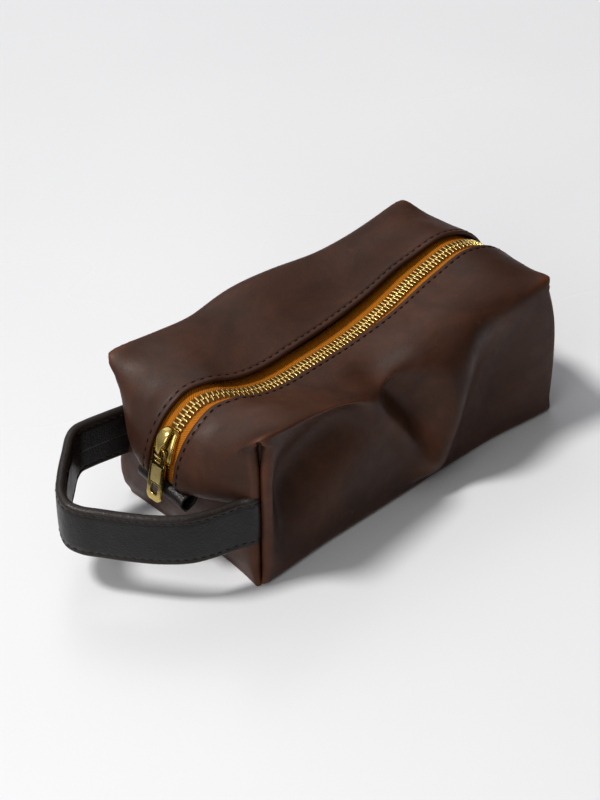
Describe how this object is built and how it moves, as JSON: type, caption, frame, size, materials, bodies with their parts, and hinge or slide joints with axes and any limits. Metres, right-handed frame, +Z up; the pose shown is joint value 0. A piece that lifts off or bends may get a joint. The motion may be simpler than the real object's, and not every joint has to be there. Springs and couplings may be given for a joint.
{
  "type": "shaving kit bag",
  "caption": "Soft leather boxed-corner toiletry bag with a metal zip running over the top and both ends, a side carry handle and a folded end tab.",
  "frame": {"origin": "centre of the flat underside, midway between the box seams", "axes": "+X runs from the handle and parked slider end towards the far end, -Y is the front long side, +Z is up"},
  "size_m": [0.3261, 0.118, 0.0995],
  "materials": {
    "leather_brown": "waxed pull-up leather, satin",
    "leather_black": "smooth, semi-gloss",
    "zip_tape": "woven",
    "brass": "polished",
    "thread_brown": "waxed thread",
    "thread_grey": "waxed thread",
    "handle_board": "raw leather board"
  },
  "bodies": {
    "base": {"bottom_panel": "leather_brown", "near_end_lower_panel": "leather_brown", "far_end_lower_panel": "leather_brown", "front_panel_near_end": "leather_brown", "zip_tape_front_near_end": "zip_tape", "zip_teeth_front_near_end": "brass", "zip_stitching_front_near_end": "thread_brown", "front_panel_far_end": "leather_brown", "zip_tape_front_far_end": "zip_tape", "zip_teeth_front_far_end": "brass", "zip_stitching_front_far_end": "thread_brown", "back_panel_near_end": "leather_brown", "zip_tape_back_near_end": "zip_tape", "zip_teeth_back_near_end": "brass", "zip_stitching_back_near_end": "thread_brown", "back_panel_far_end": "leather_brown", "zip_tape_back_far_end": "zip_tape", "zip_teeth_back_far_end": "brass", "zip_stitching_back_far_end": "thread_brown", "zip_top_stop_front": "brass", "zip_top_stop_back": "brass", "zip_bottom_stop": "brass"},
    "front_wall": {"front_panel_middle": "leather_brown", "zip_tape_front_middle": "zip_tape", "zip_teeth_front_middle": "brass", "zip_stitching_front_middle": "thread_brown"},
    "back_wall": {"back_panel_middle": "leather_brown", "zip_tape_back_middle": "zip_tape", "zip_teeth_back_middle": "brass", "zip_stitching_back_middle": "thread_brown"},
    "slider": {"slider_body": "brass", "slider_inner_plate": "brass", "slider_crown": "brass", "slider_lock_pawl": "brass"},
    "pull": {"zip_pull": "brass"},
    "handle": {"handle_wrap": "leather_black", "handle_core": "handle_board", "handle_stitching_upper": "thread_grey", "handle_stitching_lower": "thread_grey"},
    "tab": {"end_tab": "leather_black"}
  },
  "joints": [
    {"name": "mouth_front", "type": "hinge", "parent": "base", "child": "front_wall", "pos_m": [0, -0.059, 0.0063], "axis": [1, 0, 0], "range_deg": [0, 15]},
    {"name": "mouth_back", "type": "hinge", "parent": "base", "child": "back_wall", "pos_m": [0, 0.059, 0.0063], "axis": [-1, 0, 0], "range_deg": [0, 15]},
    {"name": "slider_travel", "type": "hinge", "parent": "base", "child": "slider", "pos_m": [-0.095, 0, 0.052], "axis": [0, 1, 0], "range_deg": [0, 44]},
    {"name": "pull_swing", "type": "hinge", "parent": "slider", "child": "pull", "pos_m": [-0.13274, 0, 0.06914], "axis": [0, 1, 0], "range_deg": [0, 150]},
    {"name": "handle_lift", "type": "hinge", "parent": "base", "child": "handle", "pos_m": [-0.116, 0, 0.044], "axis": [0, 1, 0], "range_deg": [0, 25]},
    {"name": "tab_bend", "type": "hinge", "parent": "base", "child": "tab", "pos_m": [-0.1254, 0, 0.044], "axis": [0, 1, 0], "range_deg": [-30, 0], "stiffness_Nm_per_rad": 0.02, "springref_deg": 5.73}
  ]
}
